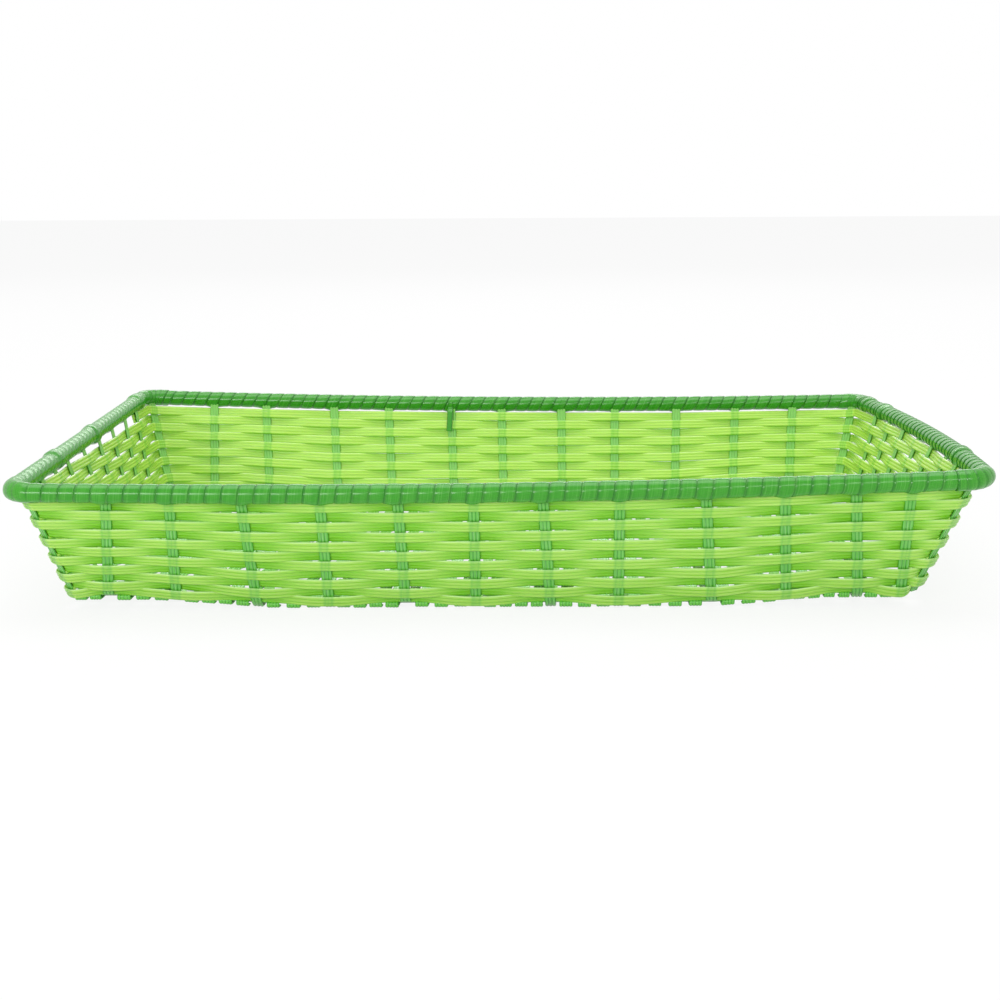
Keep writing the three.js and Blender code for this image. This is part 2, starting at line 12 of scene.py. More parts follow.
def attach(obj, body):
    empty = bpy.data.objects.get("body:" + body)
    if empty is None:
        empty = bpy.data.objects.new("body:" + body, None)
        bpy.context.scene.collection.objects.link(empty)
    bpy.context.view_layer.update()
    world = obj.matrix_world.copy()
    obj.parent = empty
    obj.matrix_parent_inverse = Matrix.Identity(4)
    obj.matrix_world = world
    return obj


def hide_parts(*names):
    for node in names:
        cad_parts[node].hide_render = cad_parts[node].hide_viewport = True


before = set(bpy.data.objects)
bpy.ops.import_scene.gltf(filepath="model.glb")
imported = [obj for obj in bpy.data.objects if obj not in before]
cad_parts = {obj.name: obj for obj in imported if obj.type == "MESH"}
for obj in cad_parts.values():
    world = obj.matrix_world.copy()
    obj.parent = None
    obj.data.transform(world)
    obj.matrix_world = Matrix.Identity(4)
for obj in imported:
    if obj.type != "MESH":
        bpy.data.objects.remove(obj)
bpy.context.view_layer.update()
rng = np.random.default_rng(41)

# The tray. The strips are fitted to the photograph, a little wider and lower on the walls than in
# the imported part.
RIM_LENGTH, RIM_DEPTH, RIM_LEVEL, RIM_CORNER = 441.0, 291.0, 62.5, 11.5
WIRE_DIAMETER, WRAP_DIAMETER, WRAP_TURN = 3.0, 9.0, 7.3
BASE_LENGTH, BASE_DEPTH, BASE_CORNER, BEND_RISE, ROD_INSET = 399.0, 245.0, 9.0, 1.4, 6.5
STAKE_WIDTH, STAKE_THICKNESS = 5.0, 1.0
WEAVER_WIDTH, WEAVER_THICKNESS, WEFT_THICKNESS = 5.6, 1.1, 0.8
CLEARANCE, CROSS_SWING, CROSS_MARGIN = 0.3, 1.6, 1.0
ROWS, FIRST_ROW, ROW_RISE, STRIP_END_REACH = 11, 4.2, 5.08, 5.0

# Bays between the stakes, from the left or from the front, and what is left beside the last ones
FRONT_BAYS = [28.4, 32.1, 36, 35.2, 34.5, 31.2, 35, 38.5, 35.8, 32, 25.2]
FRONT_BASE_BAYS = [32, 37.7, 34, 36, 33, 34.9, 31.9, 43.7, 34.7, 33.5, 20]
REAR_BAYS = [31.6, 41.4, 33.4, 38.3, 30.8, 36.5, 32.6, 37.6, 35.8, 35.1]
REAR_BASE_BAYS = [33.8, 41.9, 33, 37.5, 30.1, 35.7, 31.7, 36.1, 33.5, 31.5]
LEFT_BAYS = [23, 23, 24.5, 33, 34, 32, 33, 30]
RIGHT_BAYS = [20, 20, 23.5, 35, 30, 34, 31, 29]
END_BASE_BAYS = [19.5, 19.5, 20.5, 25.5, 23, 24, 25, 28.5]
FRONT_MARGINS, FRONT_BASE_MARGINS = (43.3, 33.8), (19.5, 8.5)
REAR_MARGINS, REAR_BASE_MARGINS = (44.0, 41.3), (27.6, 26.6)
LEFT_MARGINS, RIGHT_MARGINS, END_BASE_MARGINS = (21.0, 37.5), (21.0, 47.5), (18.5, 41.0)

# How the hand-made tray is out of true
RIM_SAG, RIM_TWIST, RIGHT_BOW, BASE_SHIFT, BASE_SKEW, END_LIFT = 2.9, 2.2, 7.0, -3.0, 9.0, 4.0
LIFT_START, LIFT_END = 105.0, 155.0

# Ribs along the strips, their depth, and the form of a strip's section
WEAVER_RIBS, WEAVER_RIB_DEPTH = 3, 0.26
STAKE_RIBS, STAKE_RIB_DEPTH = 3, 0.28
WEFT_RIBS, WEFT_RIB_DEPTH, WEFT_RIB_POINTS = 4, 0.2, 4
TAIL_RIBS, TAIL_RIB_DEPTH = 2, 0.12
RIDGE_POWER, EDGE_POWER, EDGE_SHARE = 0.7, 8, 0.35

# The weave. Its winding has a point at every step. Each pass swings by its slack's share of the
# seat, and further where the bay beside it is narrow, down to the least bay and cosine.
STEP, CORNER_STEPS = 2.6, 12
LEAST_BAY, LEAST_COSINE = 6, 0.72
SLACK, CHANCE_DIP = (0.82, 0.92), (-0.12, 0.14)
# How far outer passes dip and inner ones rise, or the reverse where negative: at the ends, at the
# rear, in the first row in front, in front by row, and how much less on the right of the front.
# Chance dips are calmer at the rear and in front.
END_DIP, REAR_DIP, FIRST_ROW_DIP = 0.12, -0.18, 0.55
DIP_ROWS, FRONT_DIPS = [0, 2, 3.5, 5.5, 7, 10], [0.3, 0.1, -0.05, -0.3, -0.45, -0.5]
RIGHT_DIP, RIGHT_DIP_START, RIGHT_DIP_RUN = 0.25, 130, 40
CALM_REAR, CALM_FRONT = 0.7, 0.4
# The middle rows sink in front, the first lies higher all round, and the upper climb at the ends
FRONT_SETTLE, FIRST_ROW_LIFT, END_CLIMB = -0.7, 0.75, 1.3
# Slow waves along the strip: their size, their length and their shift from lap to lap
SWAYS = ((0.12, 41, 1), (0.08, 23, 2.1))
# How far the way out turns to the front or the rear before a point counts as wholly there
FACING = 0.9

# The stakes: the hook's bends round the wire, and the points along each stretch
HOOK_DEGREES = (40, 65, 90, 115, 140, 165, 185)
HOOK_DROP, CORNER_HOOK_SHARE, WALL_POINTS = 4, 0.07, 18
CROSS_POINTS, LONG_POINTS, ROD_POINTS, ODD_POINTS, ODD_REACH = 170, 130, 110, 8, 2

# The base strips: their number in an end bay, width, play, points, and turns round the rods
END_WEFTS, WEFT_WIDEST, WEFT_FILL, WEFT_PLAY = 2, 6.2, 0.8, (0.95, 1.02)
WEFT_POINTS, TURN_DEGREES, TURN_BULGE, TURN_SWELL = 110, (15, 45, 75, 105, 135, 165), 1.35, 1.02
FRONT_TURN_REACH, TURN_DROP, TUCKS, TURN_SHIFT = 3.0, (-0.25, 0.35), (0.5, 2.0, 3.6), 1

# The rim's winding: points round it and across the strip, the strip's form and length in a turn
RING, ACROSS, WRAP_THICKNESS, WRAP_CROWN, CROWN_POWER, WRAP_EDGE = 30, 10, 0.45, 0.26, 0.8, 0.1
TURN_LENGTH = 28.0
# Its underside bulges at the stakes, and all of it at collars, where the strip was joined
STAKE_BULGE, STAKE_BULGE_REACH = 0.9, 6.5
COLLARS = {"left": (66, -10, -122), "right": (-79, 90, 124)}
COLLAR_BULGE, COLLAR_SPREAD, COLLAR_REACH = 0.8, 1.6, 4.5
# On the sides and at the corners: radius, turn or overlap, lean, overrun, and step between turns
SIDE_RADIUS, SIDE_OVERLAP, SIDE_LEAN_IN, SIDE_OVERRUN = WRAP_DIAMETER / 2 - 0.1, 1.0, 0.8, 3.0
CORNER_RADIUS, CORNER_TURN, CORNER_STRIP = WRAP_DIAMETER / 2 + 0.25, 3.4, 7.0
CORNER_LEAN_IN, CORNER_OVERRUN = 1.2, 4.0
LONG_SIDE_STEP, END_SIDE_STEP, CORNER_STEP = 0.3, 0.45, 0.5

# The loose end of the wrapping strip
TAIL_PLACE, TAIL_WIDTH, TAIL_THICKNESS, TAIL_LENGTH = -31.0, 3.2, 0.6, 17.0
TAIL_RADIUS, TAIL_DEGREES, TAIL_START, TAIL_POINTS = WRAP_DIAMETER / 2 + 0.5, (160, 185, 205), 5.5, 9
TAIL_CURL, TAIL_GAP, TAIL_SEAT = 0.5, 0.45, 1.1

# What follows from these
STAKE_SEAT = WIRE_DIAMETER / 2 + 2 * CLEARANCE + STAKE_THICKNESS / 2
BASE_LEVEL = CROSS_SWING + STAKE_THICKNESS / 2
WALL_HEIGHT = RIM_LEVEL - BASE_LEVEL
ROD_PLACE = BASE_DEPTH / 2 - ROD_INSET
SEAT = STAKE_THICKNESS / 2 + WEAVER_THICKNESS / 2 + CLEARANCE

MILLIMETRE = 0.001
RIGHTWARD = np.array([1.0, 0, 0])
FORWARD = np.array([0, -1.0, 0])
UP = np.array([0, 0, 1.0])


def mix(a, b, t):
    return a + (b - a) * t


def smooth(t):
    t = np.clip(t, 0, 1)
    return t * t * (3 - 2 * t)


def unit(v):
    return v / np.linalg.norm(v, axis=-1, keepdims=True)


def spaced(length, margins, gaps):
    """Places of the stakes along a side, from the left or from the front."""
    steps = np.concatenate([[0], np.cumsum(gaps)])
    return -length / 2 + margins[0] + steps * (length - sum(margins)) / steps[-1]


FRONT_RIM = spaced(RIM_LENGTH, FRONT_MARGINS, FRONT_BAYS)
FRONT_BASE = spaced(BASE_LENGTH, FRONT_BASE_MARGINS, FRONT_BASE_BAYS)
REAR_RIM = spaced(RIM_LENGTH, REAR_MARGINS, REAR_BAYS)
REAR_BASE = spaced(BASE_LENGTH, REAR_BASE_MARGINS, REAR_BASE_BAYS)
LEFT_RIM = spaced(RIM_DEPTH, LEFT_MARGINS, LEFT_BAYS)
RIGHT_RIM = spaced(RIM_DEPTH, RIGHT_MARGINS, RIGHT_BAYS)
END_BASE = spaced(BASE_DEPTH, END_BASE_MARGINS, END_BASE_BAYS)
END_STAKES = len(END_BASE)
LAST_CROSS = len(REAR_RIM) - 1

# The four sides in winding order: along, out, lean
END_LEAN = math.atan((RIM_LENGTH / 2 - STAKE_SEAT - BASE_LENGTH / 2) / WALL_HEIGHT)
SIDE_LEAN = math.atan((RIM_DEPTH / 2 - STAKE_SEAT - BASE_DEPTH / 2) / WALL_HEIGHT)
CORNER_LEAN = math.atan(math.hypot(math.tan(END_LEAN), math.tan(SIDE_LEAN)))
SIDES = {
    "front": (np.array([1.0, 0, 0]), np.array([0, -1.0, 0]), SIDE_LEAN),
    "right": (np.array([0, 1.0, 0]), np.array([1.0, 0, 0]), END_LEAN),
    "rear": (np.array([-1.0, 0, 0]), np.array([0, 1.0, 0]), SIDE_LEAN),
    "left": (np.array([0, -1.0, 0]), np.array([-1.0, 0, 0]), END_LEAN),
}
ORDER = list(SIDES)


def is_end(side):
    return side in ("left", "right")


def after(side):
    return ORDER[(ORDER.index(side) + 1) % len(ORDER)]


def corner_signs(side):
    """The signs of x and y in the corner that follows a side."""
    return np.sign(SIDES[side][1] + SIDES[after(side)][1])


def wall_at(level):
    """Half length, half depth and corner radius of the walls' middle surface at a level."""
    share = (level - BASE_LEVEL) / WALL_HEIGHT
    return (mix(BASE_LENGTH / 2, RIM_LENGTH / 2 - STAKE_SEAT, share),
            mix(BASE_DEPTH / 2, RIM_DEPTH / 2 - STAKE_SEAT, share),
            mix(BASE_CORNER, RIM_CORNER - STAKE_SEAT, share))


def relax(points):
    """Moves points of the true shape to where they lie in the finished tray."""
    points = np.asarray(points, float)
    x, y, z = points[..., 0], points[..., 1], points[..., 2]
    height = np.clip((z - BASE_LEVEL) / WALL_HEIGHT, 0, 1)
    half_length, half_depth, _ = wall_at(mix(BASE_LEVEL, RIM_LEVEL, height))
    along = np.clip(x / half_length, -1, 1)
    across = np.clip(y / half_depth, -1, 1)
    bow = RIGHT_BOW * np.maximum(along, 0) ** 4 * (1 - across ** 2)
    skew = BASE_SKEW * np.maximum(along, 0) ** 4 * np.maximum(across, 0) ** 2
    sag = RIM_SAG * (1 - along ** 2) * across ** 4
    lift = END_LIFT * np.clip((np.abs(x) - LIFT_START) / (LIFT_END - LIFT_START), 0, 1)
    return np.stack([
        x + bow + (BASE_SHIFT + skew) * (1 - height) - RIGHT_BOW / 2,
        y,
        z + lift * (1 - height) - (sag + RIM_TWIST * along * across) * height,
    ], axis=-1)


def stakes_on(side, level):
    """The stakes' places along a side at a level, in the direction of winding."""
    share = (level - BASE_LEVEL) / WALL_HEIGHT
    if side == "front":
        return mix(FRONT_BASE, FRONT_RIM, share)
    if side == "rear":
        return -mix(REAR_BASE, REAR_RIM, share)[::-1]
    if side == "right":
        return mix(END_BASE, RIGHT_RIM, share)
    return -mix(END_BASE, LEFT_RIM, share)[::-1]


# Meshes of strips

def ribbed(width, thickness, ribs, depth, fine=5):
    """A strip's cross section as a closed loop of (across, out, share of the width, face).
    It has rounded ribs and thins towards its two edges."""
    count = ribs * fine + 1
    share = np.linspace(-1, 1, count)
    ridge = np.abs(np.sin((share + 1) / 2 * ribs * math.pi)) ** RIDGE_POWER
    edge = np.sqrt(np.clip(1 - np.abs(share) ** EDGE_POWER, 0, 1))
    half = (thickness / 2 - depth + depth * ridge) * mix(EDGE_SHARE, 1.0, edge)
    front = np.stack([share * width / 2, half, share, np.ones(count)], axis=1)
    back = np.stack([-share * width / 2, -half[::-1], -share, -np.ones(count)], axis=1)
    return np.concatenate([front, back])


def new_mesh(name, points, quads, caps, values):
    """A smooth mesh object from points in millimetres, with named values on its points."""
    mesh = bpy.data.meshes.new(name)
    mesh.from_pydata((np.asarray(points) * MILLIMETRE).tolist(), [], quads + caps)
    mesh.shade_smooth()
    for polygon in mesh.polygons[len(quads):]:
        polygon.use_smooth = False
    for key, value in values.items():
        layer = mesh.attributes.new(key, "FLOAT", "POINT")
        layer.data.foreach_set("value", np.asarray(value, np.float32).ravel())
    mesh.validate()
    mesh.update()
    made = bpy.data.objects.new(name, mesh)
    bpy.context.scene.collection.objects.link(made)
    return made


def loop_faces(rings, count, start):
    """Quads between rings of count points each, and the two caps, from one point number on."""
    quads = []
    for i in range(rings - 1):
        here = start + i * count
        for j in range(count):
            k = (j + 1) % count
            quads.append((here + j, here + count + j, here + count + k, here + k))
    first = [start + j for j in range(count)]
    last = [start + (rings - 1) * count + j for j in range(count)][::-1]
    return quads, [first, last]


def strip_parts(path, across, profile):
    """Rings of a strip along a path, with its along, share and face values."""
    path = np.asarray(path, float)
    tangent = unit(np.gradient(path, axis=0))
    side = unit(across - tangent * np.sum(across * tangent, axis=1, keepdims=True))
    normal = np.cross(side, tangent)
    rings = relax(path[:, None] + side[:, None] * profile[None, :, 0:1]
                  + normal[:, None] * profile[None, :, 1:2])
    steps = np.linalg.norm(np.diff(path, axis=0), axis=1)
    along = np.concatenate([[0], np.cumsum(steps)])
    shape = rings.shape[:2]
    return rings, {
        "along": np.broadcast_to(along[:, None], shape),
        "share": np.broadcast_to(profile[None, :, 2], shape),
        "face": np.broadcast_to(profile[None, :, 3], shape),
    }


def strips_object(name, parts):
    """One object from several closed strips, each (rings, values)."""
    points, quads, caps = [], [], []
    values = {}
    start = 0
    for rings, data in parts:
        count = rings.shape[1]
        sides, ends = loop_faces(rings.shape[0], count, start)
        quads += sides
        caps += ends
        points.append(rings.reshape(-1, 3))
        for key, value in data.items():
            values.setdefault(key, []).append(np.asarray(value, float).reshape(-1))
        start += rings.shape[0] * count
    values = {key: np.concatenate(value) for key, value in values.items()}
    return new_mesh(name, np.concatenate(points), quads, caps, values)


def wave(at, places, values):
    """A smooth line through values at places, level at each of them."""
    i = np.clip(np.searchsorted(places, at) - 1, 0, len(places) - 2)
    low, high = places[i], places[i + 1]
    t = np.clip((at - low) / np.maximum(high - low, 1e-9), 0, 1)
    return mix(values[i], values[i + 1], (1 - np.cos(t * math.pi)) / 2)


def rounded(points, times):
    """Cuts the corners of a line, keeping its ends."""
    points = np.asarray(points, float)
    for _ in range(times):
        low = mix(points[:-1], points[1:], 0.25)
        high = mix(points[:-1], points[1:], 0.75)
        inner = np.stack([low, high], axis=1).reshape(-1, 3)
        points = np.concatenate([points[:1], inner, points[-1:]])
    return points


def place_piece(piece, material, node):
    """Gives a piece its material and body, and hides the imported node that it stands for."""
    piece.data.materials.append(material)
    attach(piece, "root")
    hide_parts(node)


# The weaving strip

def corner_frame(side, angle, level):
    """A point of the corner that follows a side, with out and lean, at an angle of 0 to 90 degrees.
    The corner is a rounded facet, with a stake in its middle."""
    along, out, lean = SIDES[side]
    half_length, half_depth, radius = wall_at(level)
    turned = out * math.cos(angle) + along * math.sin(angle)
    sign = corner_signs(side)
    centre = np.array([sign[0] * (half_length - radius), sign[1] * (half_depth - radius), level])
    nearest = min(abs(angle - facet) for facet in (0, math.pi / 4, math.pi / 2))
    reach = radius * mix(1, 1 / math.cos(nearest), 0.5)
    mean = mix(lean, SIDES[after(side)][2], angle / (math.pi / 2))
    tilt = mean + (CORNER_LEAN - mean) * math.sin(2 * angle)
    return centre + turned * reach, turned, tilt


class Lap:
    """Samples of one lap of the wall's middle line: points, out, up, and the stakes it meets."""

    def __init__(self, level):
        self.level = level
        self.points, self.outs, self.ups, self.hits = [], [], [], []

    def put(self, point, out, lean):
        self.points.append(point)
        self.outs.append(out * math.cos(lean) - UP * math.sin(lean))
        self.ups.append(out * math.sin(lean) + UP * math.cos(lean))

    def straight(self, side, start, end, rise=0.0):
        """A stretch along a side. It climbs by a share of a row from its first stake to its last."""
        along, out, lean = SIDES[side]
        stakes = stakes_on(side, self.level + ROW_RISE * (rise / 2))
        steps = max(2, int(round(abs(end - start) / STEP)))
        first = len(self.points)
        for place in np.linspace(start, end, steps + 1):
            climb = rise * np.clip((place - stakes[0]) / (stakes[-1] - stakes[0]), 0, 1)
            here = self.level + ROW_RISE * climb
            half_length, half_depth, _ = wall_at(here)
            distance = half_length if is_end(side) else half_depth
            self.put(out * distance + along * place + UP * here, out, lean)
        for stake in stakes:
            if start <= stake <= end:
                self.hits.append(first + (stake - start) / (end - start) * steps)

    def bend(self, side, rows_up=0.0, first=1, last=CORNER_STEPS - 1):
        """Steps round the corner that follows a side. Its stake is met at the middle one."""
        for step in range(first, last + 1):
            if step == CORNER_STEPS // 2:
                self.hits.append(len(self.points))
            angle = step / CORNER_STEPS * math.pi / 2
            self.put(*corner_frame(side, angle, self.level + ROW_RISE * rows_up))


def lap_line(row):
    """One lap. It is level on three sides and climbs to the next row along the left side. Laps
    join at the stake in the front left corner, and the strip's two ends lie on the left side."""
    level = FIRST_ROW + ROW_RISE * row
    lap = Lap(level)
    half_length, half_depth, radius = wall_at(level)
    if row == 0:
        lap.straight("left", stakes_on("left", level)[-1] - STRIP_END_REACH, half_depth - radius)
        lap.bend("left")
    else:
        lap.bend("left", first=CORNER_STEPS // 2)
    lap.straight("front", radius - half_length, half_length - radius)
    lap.bend("front")
    lap.straight("right", radius - half_depth, half_depth - radius)
    lap.bend("right")
    lap.straight("rear", radius - half_length, half_length - radius)
    lap.bend("rear")
    if row == ROWS - 1:
        lap.straight("left", radius - half_depth, stakes_on("left", level)[0] + STRIP_END_REACH)
    else:
        _, next_depth, next_radius = wall_at(level + ROW_RISE)
        lap.straight("left", radius - half_depth, next_depth - next_radius, rise=1.0)
        lap.bend("left", rows_up=1.0, last=CORNER_STEPS // 2)
    return lap


def wind_walls():
    """The whole winding: points, out, up, lap, distance along it, swing to the stakes' two sides,
    distance from the nearest stake and chance dip."""
    points, outs, ups, laps, hits = [], [], [], [], []
    total = 0
    for row in range(ROWS):
        lap = lap_line(row)
        keep = len(lap.points) - (1 if row < ROWS - 1 else 0)
        points.append(lap.points[:keep])
        outs.append(lap.outs[:keep])
        ups.append(lap.ups[:keep])
        laps.append(np.full(keep, row))
        hits += [total + hit for hit in lap.hits if hit < keep]
        total += keep
    points, outs, ups, laps = map(np.concatenate, (points, outs, ups, laps))
    distance = np.concatenate([[0], np.cumsum(np.linalg.norm(np.diff(points, axis=0), axis=1))])
    met = np.interp(hits, np.arange(len(points)), distance)
    gaps = np.diff(met)
    tight = np.minimum(np.concatenate([[gaps[0]], gaps]), np.concatenate([gaps, [gaps[-1]]]))
    narrow = np.cos(math.pi * STAKE_WIDTH / 2 / np.maximum(tight, LEAST_BAY))
    sign = np.where(np.arange(len(met)) % 2 == 0, -1.0, 1.0)
    slack = rng.uniform(*SLACK, len(met))
    swing = sign * slack * SEAT / np.maximum(narrow, LEAST_COSINE)
    dips = rng.uniform(*CHANCE_DIP, len(met))
    places = np.concatenate([[met[0] - gaps[0]], met, [met[-1] + gaps[-1]]])
    nearest = np.abs(distance[:, None] - met[None, :]).argmin(axis=1)
    return SimpleNamespace(
        points=points, outs=outs, ups=ups, laps=laps, distance=distance,
        swing=wave(distance, places, np.concatenate([[-swing[0]], swing, [-swing[-1]]])),
        beside=np.abs(distance - met[nearest]),
        chance=wave(distance, places, np.concatenate([[0], dips, [0]])))


def rise_and_fall(winding, front, rear):
    """How far the strip lies above its even row. Passes dip beside the stakes, by row and side,
    and whole rows settle, climb and sway a little."""
    laps, distance, last = winding.laps, winding.distance, ROWS - 1
    front_dip = np.interp(laps, DIP_ROWS, FRONT_DIPS)
    front_dip = front_dip - RIGHT_DIP * smooth((winding.points[:, 0] - RIGHT_DIP_START) / RIGHT_DIP_RUN)
    dip = mix(mix(END_DIP, REAR_DIP, rear), front_dip, front)
    dip = dip + winding.chance * (1 - CALM_REAR * rear - CALM_FRONT * front)
    dip = np.where(laps == 0, mix(dip, FIRST_ROW_DIP, front), dip)
    settle = FRONT_SETTLE * np.sin(laps / last * math.pi) * front
    settle = settle + np.where(laps == 0, FIRST_ROW_LIFT, 0)
    settle = settle + END_CLIMB * (1 - front) * (1 - rear) * smooth((laps - last / 2) / (last / 2))
    sway = sum(size * np.sin(distance / length + phase * laps) for size, length, phase in SWAYS)
    return settle + sway - dip * winding.swing / SEAT


def make_weaver(material):
    """The weaving strip, one piece for each lap."""
    winding = wind_walls()
    front = smooth(-winding.outs[:, 1] / FACING)
    rear = smooth(winding.outs[:, 1] / FACING)
    rise = rise_and_fall(winding, front, rear)
    path = winding.points + winding.outs * winding.swing[:, None] + winding.ups * rise[:, None]
    profile = ribbed(WEAVER_WIDTH, WEAVER_THICKNESS, WEAVER_RIBS, WEAVER_RIB_DEPTH)
    rings, data = strip_parts(path, winding.ups, profile)
    shape = rings.shape[:2]
    data["swing"] = np.broadcast_to((winding.swing / SEAT)[:, None], shape)
    data["beside"] = np.broadcast_to(winding.beside[:, None], shape)
    for row in range(ROWS):
        here = np.flatnonzero(winding.laps == row)
        span = slice(here[0], min(here[-1] + 2, len(path)))
        lap = {key: value[span] for key, value in data.items()}
        piece = strips_object(f"weaving_lap_{row + 1:02d}", [(rings[span], lap)])
        place_piece(piece, material, f"weaver_lap_{row + 1:02d}")


# Stakes

def wall_point(side, base_place, rim_place, level):
    """A point of a wall's middle surface, on the line between a base place and a rim place."""
    share = (level - BASE_LEVEL) / WALL_HEIGHT
    half_length, half_depth, _ = wall_at(level)
    distance = half_length if is_end(side) else half_depth
    along, out, _ = SIDES[side]
    return out * distance + along * mix(base_place, rim_place, share) + UP * level


def around(centre, out, radius, degrees):
    """Points round the rim's wire, counted from straight out over the top to the inside."""
    angles = [math.radians(degree) for degree in degrees]
    return [centre + out * radius * math.cos(angle) + UP * radius * math.sin(angle) for angle in angles]


def hook(side, base_place, rim_place):
    """The stake from its tip, over the wire and down the wall to just above the base."""
    out = SIDES[side][1]
    wire = wall_point(side, base_place, rim_place, RIM_LEVEL) + out * STAKE_SEAT
    levels = np.linspace(RIM_LEVEL - HOOK_DROP, BASE_LEVEL + BEND_RISE, WALL_POINTS)
    wall = [wall_point(side, base_place, rim_place, level) for level in levels]
    return around(wire, out, STAKE_SEAT, HOOK_DEGREES) + wall


def corner_hook(side):
    """The same for the stake in the corner that follows a side, with its direction across."""
    top, out, _ = corner_frame(side, math.pi / 4, RIM_LEVEL)
    bottom, _, _ = corner_frame(side, math.pi / 4, BASE_LEVEL + BEND_RISE)
    wall = [mix(top, bottom, share) for share in np.linspace(CORNER_HOOK_SHARE, 1, WALL_POINTS)]
    points = around(top + out * STAKE_SEAT, out, STAKE_SEAT, HOOK_DEGREES) + wall
    return points, np.cross(UP, out)


def wefts_after(index):
    """The number of base strips after a cross stake, in threes and fours by turns."""
    return (3, 4)[index % 2] if index < LAST_CROSS else END_WEFTS


def cross_side(index):
    """1 where a cross stake starts over the long stakes, -1 where it starts under them. It
    changes after an even number of base strips."""
    side = 1
    for i in range(index):
        side *= -1 if wefts_after(i) % 2 == 0 else 1
    return side


def crossing(front_x, rear_x, first):
    """A cross stake's way over and under the long stakes, front to rear."""
    flat = STAKE_WIDTH / 2 + CROSS_MARGIN
    places, values = [-ROD_PLACE - flat], [first]
    for i, y in enumerate(END_BASE):
        side = first * (1 if i % 2 == 0 else -1)
        if i:
            places.append(y - flat)
            values.append(side)
        if i < END_STAKES - 1:
            places.append(y + flat)
            values.append(side)
    places.append(ROD_PLACE + flat)
    values.append(first)
    y = np.linspace(places[0], places[-1], CROSS_POINTS)
    z = BASE_LEVEL + CROSS_SWING * wave(y, np.array(places), np.array(values, float))
    x = mix(front_x, rear_x, (y + BASE_DEPTH / 2) / BASE_DEPTH)
    return list(np.stack([x, y, z], axis=1))


def level_line(reach, y, count):
    """Points along the base from left to right."""
    return [np.array([x, y, BASE_LEVEL]) for x in np.linspace(-reach, reach, count)]


def stake_piece(name, points, across, material, node):
    path = rounded(points, 1)
    profile = ribbed(STAKE_WIDTH, STAKE_THICKNESS, STAKE_RIBS, STAKE_RIB_DEPTH)
    rings, data = strip_parts(path, np.broadcast_to(across, path.shape), profile)
    place_piece(strips_object(name, [(rings, data)]), material, node)


def make_cross_stakes(material):
    """The stakes that go down the front wall, across the base and up the rear wall."""
    for i in range(LAST_CROSS + 1):
        front = hook("front", FRONT_BASE[i], FRONT_RIM[i])
        rear = hook("rear", -REAR_BASE[i], -REAR_RIM[i])[::-1]
        points = front + crossing(FRONT_BASE[i], REAR_BASE[i], cross_side(i)) + rear
        number = f"{i + 1:02d}"
        stake_piece(f"upright_cross_{number}", points, RIGHTWARD, material, f"cross_stake_{number}")


def make_odd_stake(material):
    """The last stake of the front wall, which ends just past the first long stake."""
    x, level = FRONT_BASE[-1], BASE_LEVEL + cross_side(LAST_CROSS + 1) * CROSS_SWING
    start = -ROD_PLACE - STAKE_WIDTH / 2 - CROSS_MARGIN
    end = END_BASE[0] + STAKE_WIDTH / 2 + ODD_REACH
    points = hook("front", x, FRONT_RIM[-1])
    points += [np.array([x, y, level]) for y in np.linspace(start, end, ODD_POINTS)]
    stake_piece("upright_odd", points, RIGHTWARD, material, "odd_stake")


def make_long_stakes(material):
    """The stakes that go down the left wall, along the base and up the right wall."""
    for i, y in enumerate(END_BASE):
        left = hook("left", -y, -LEFT_RIM[i])
        right = hook("right", y, RIGHT_RIM[i])[::-1]
        middle = level_line(BASE_LENGTH / 2 - BEND_RISE, y, LONG_POINTS)
        number = f"{i + 1:02d}"
        stake_piece(f"upright_long_{number}", left + middle + right, FORWARD, material,
                    f"long_stake_{number}")


def make_corner_stakes(material):
    for side in ORDER:
        name = f"{side}_{after(side)}"
        points, across = corner_hook(side)
        stake_piece(f"upright_corner_{name}", points, across, material, f"corner_stake_{name}")


def make_edge_rods(material):
    """The flat rods along the front and rear edges of the base."""
    for name, y in (("front", -ROD_PLACE), ("rear", ROD_PLACE)):
        points = level_line(BASE_LENGTH / 2 - BASE_CORNER / 2, y, ROD_POINTS)
        stake_piece(f"edge_rod_{name}", points, FORWARD, material, f"base_edge_{name}")


# Base strips

def weft_line(side):
    """One base strip's way over and under the long stakes and round both edge rods, as (y, z)."""
    swing = STAKE_THICKNESS / 2 + WEFT_THICKNESS / 2 + CLEARANCE
    swing = swing / math.cos(math.pi * STAKE_WIDTH / 2 / min(np.diff(END_BASE)))
    rod_edge = ROD_PLACE + STAKE_WIDTH / 2
    places = np.concatenate([[-rod_edge, END_BASE[0] - TURN_SHIFT], END_BASE[1:-1],
                             [END_BASE[-1] + TURN_SHIFT, rod_edge]])
    signs = [1, 1] + [(-1) ** i for i in range(1, END_STAKES - 1)] + [1, 1]
    y = np.linspace(places[0], places[-1], WEFT_POINTS)
    z = swing * wave(y, places, np.array(signs, float) * side)
    turn = swing * TURN_SWELL
    drop = rng.uniform(*TURN_DROP) * (side < 0)

    def end(sign):
        edge = sign * (rod_edge + (FRONT_TURN_REACH if sign < 0 else 0))
        angles = [math.radians(degree) for degree in TURN_DEGREES]
        bend = [(edge + sign * TURN_BULGE * math.sin(angle), side * turn * math.cos(angle) - drop)
                for angle in angles]
        return bend + [(edge - sign * tuck, -side * turn) for tuck in TUCKS]

    return np.array(end(-1)[::-1] + list(zip(y, z)) + end(1))


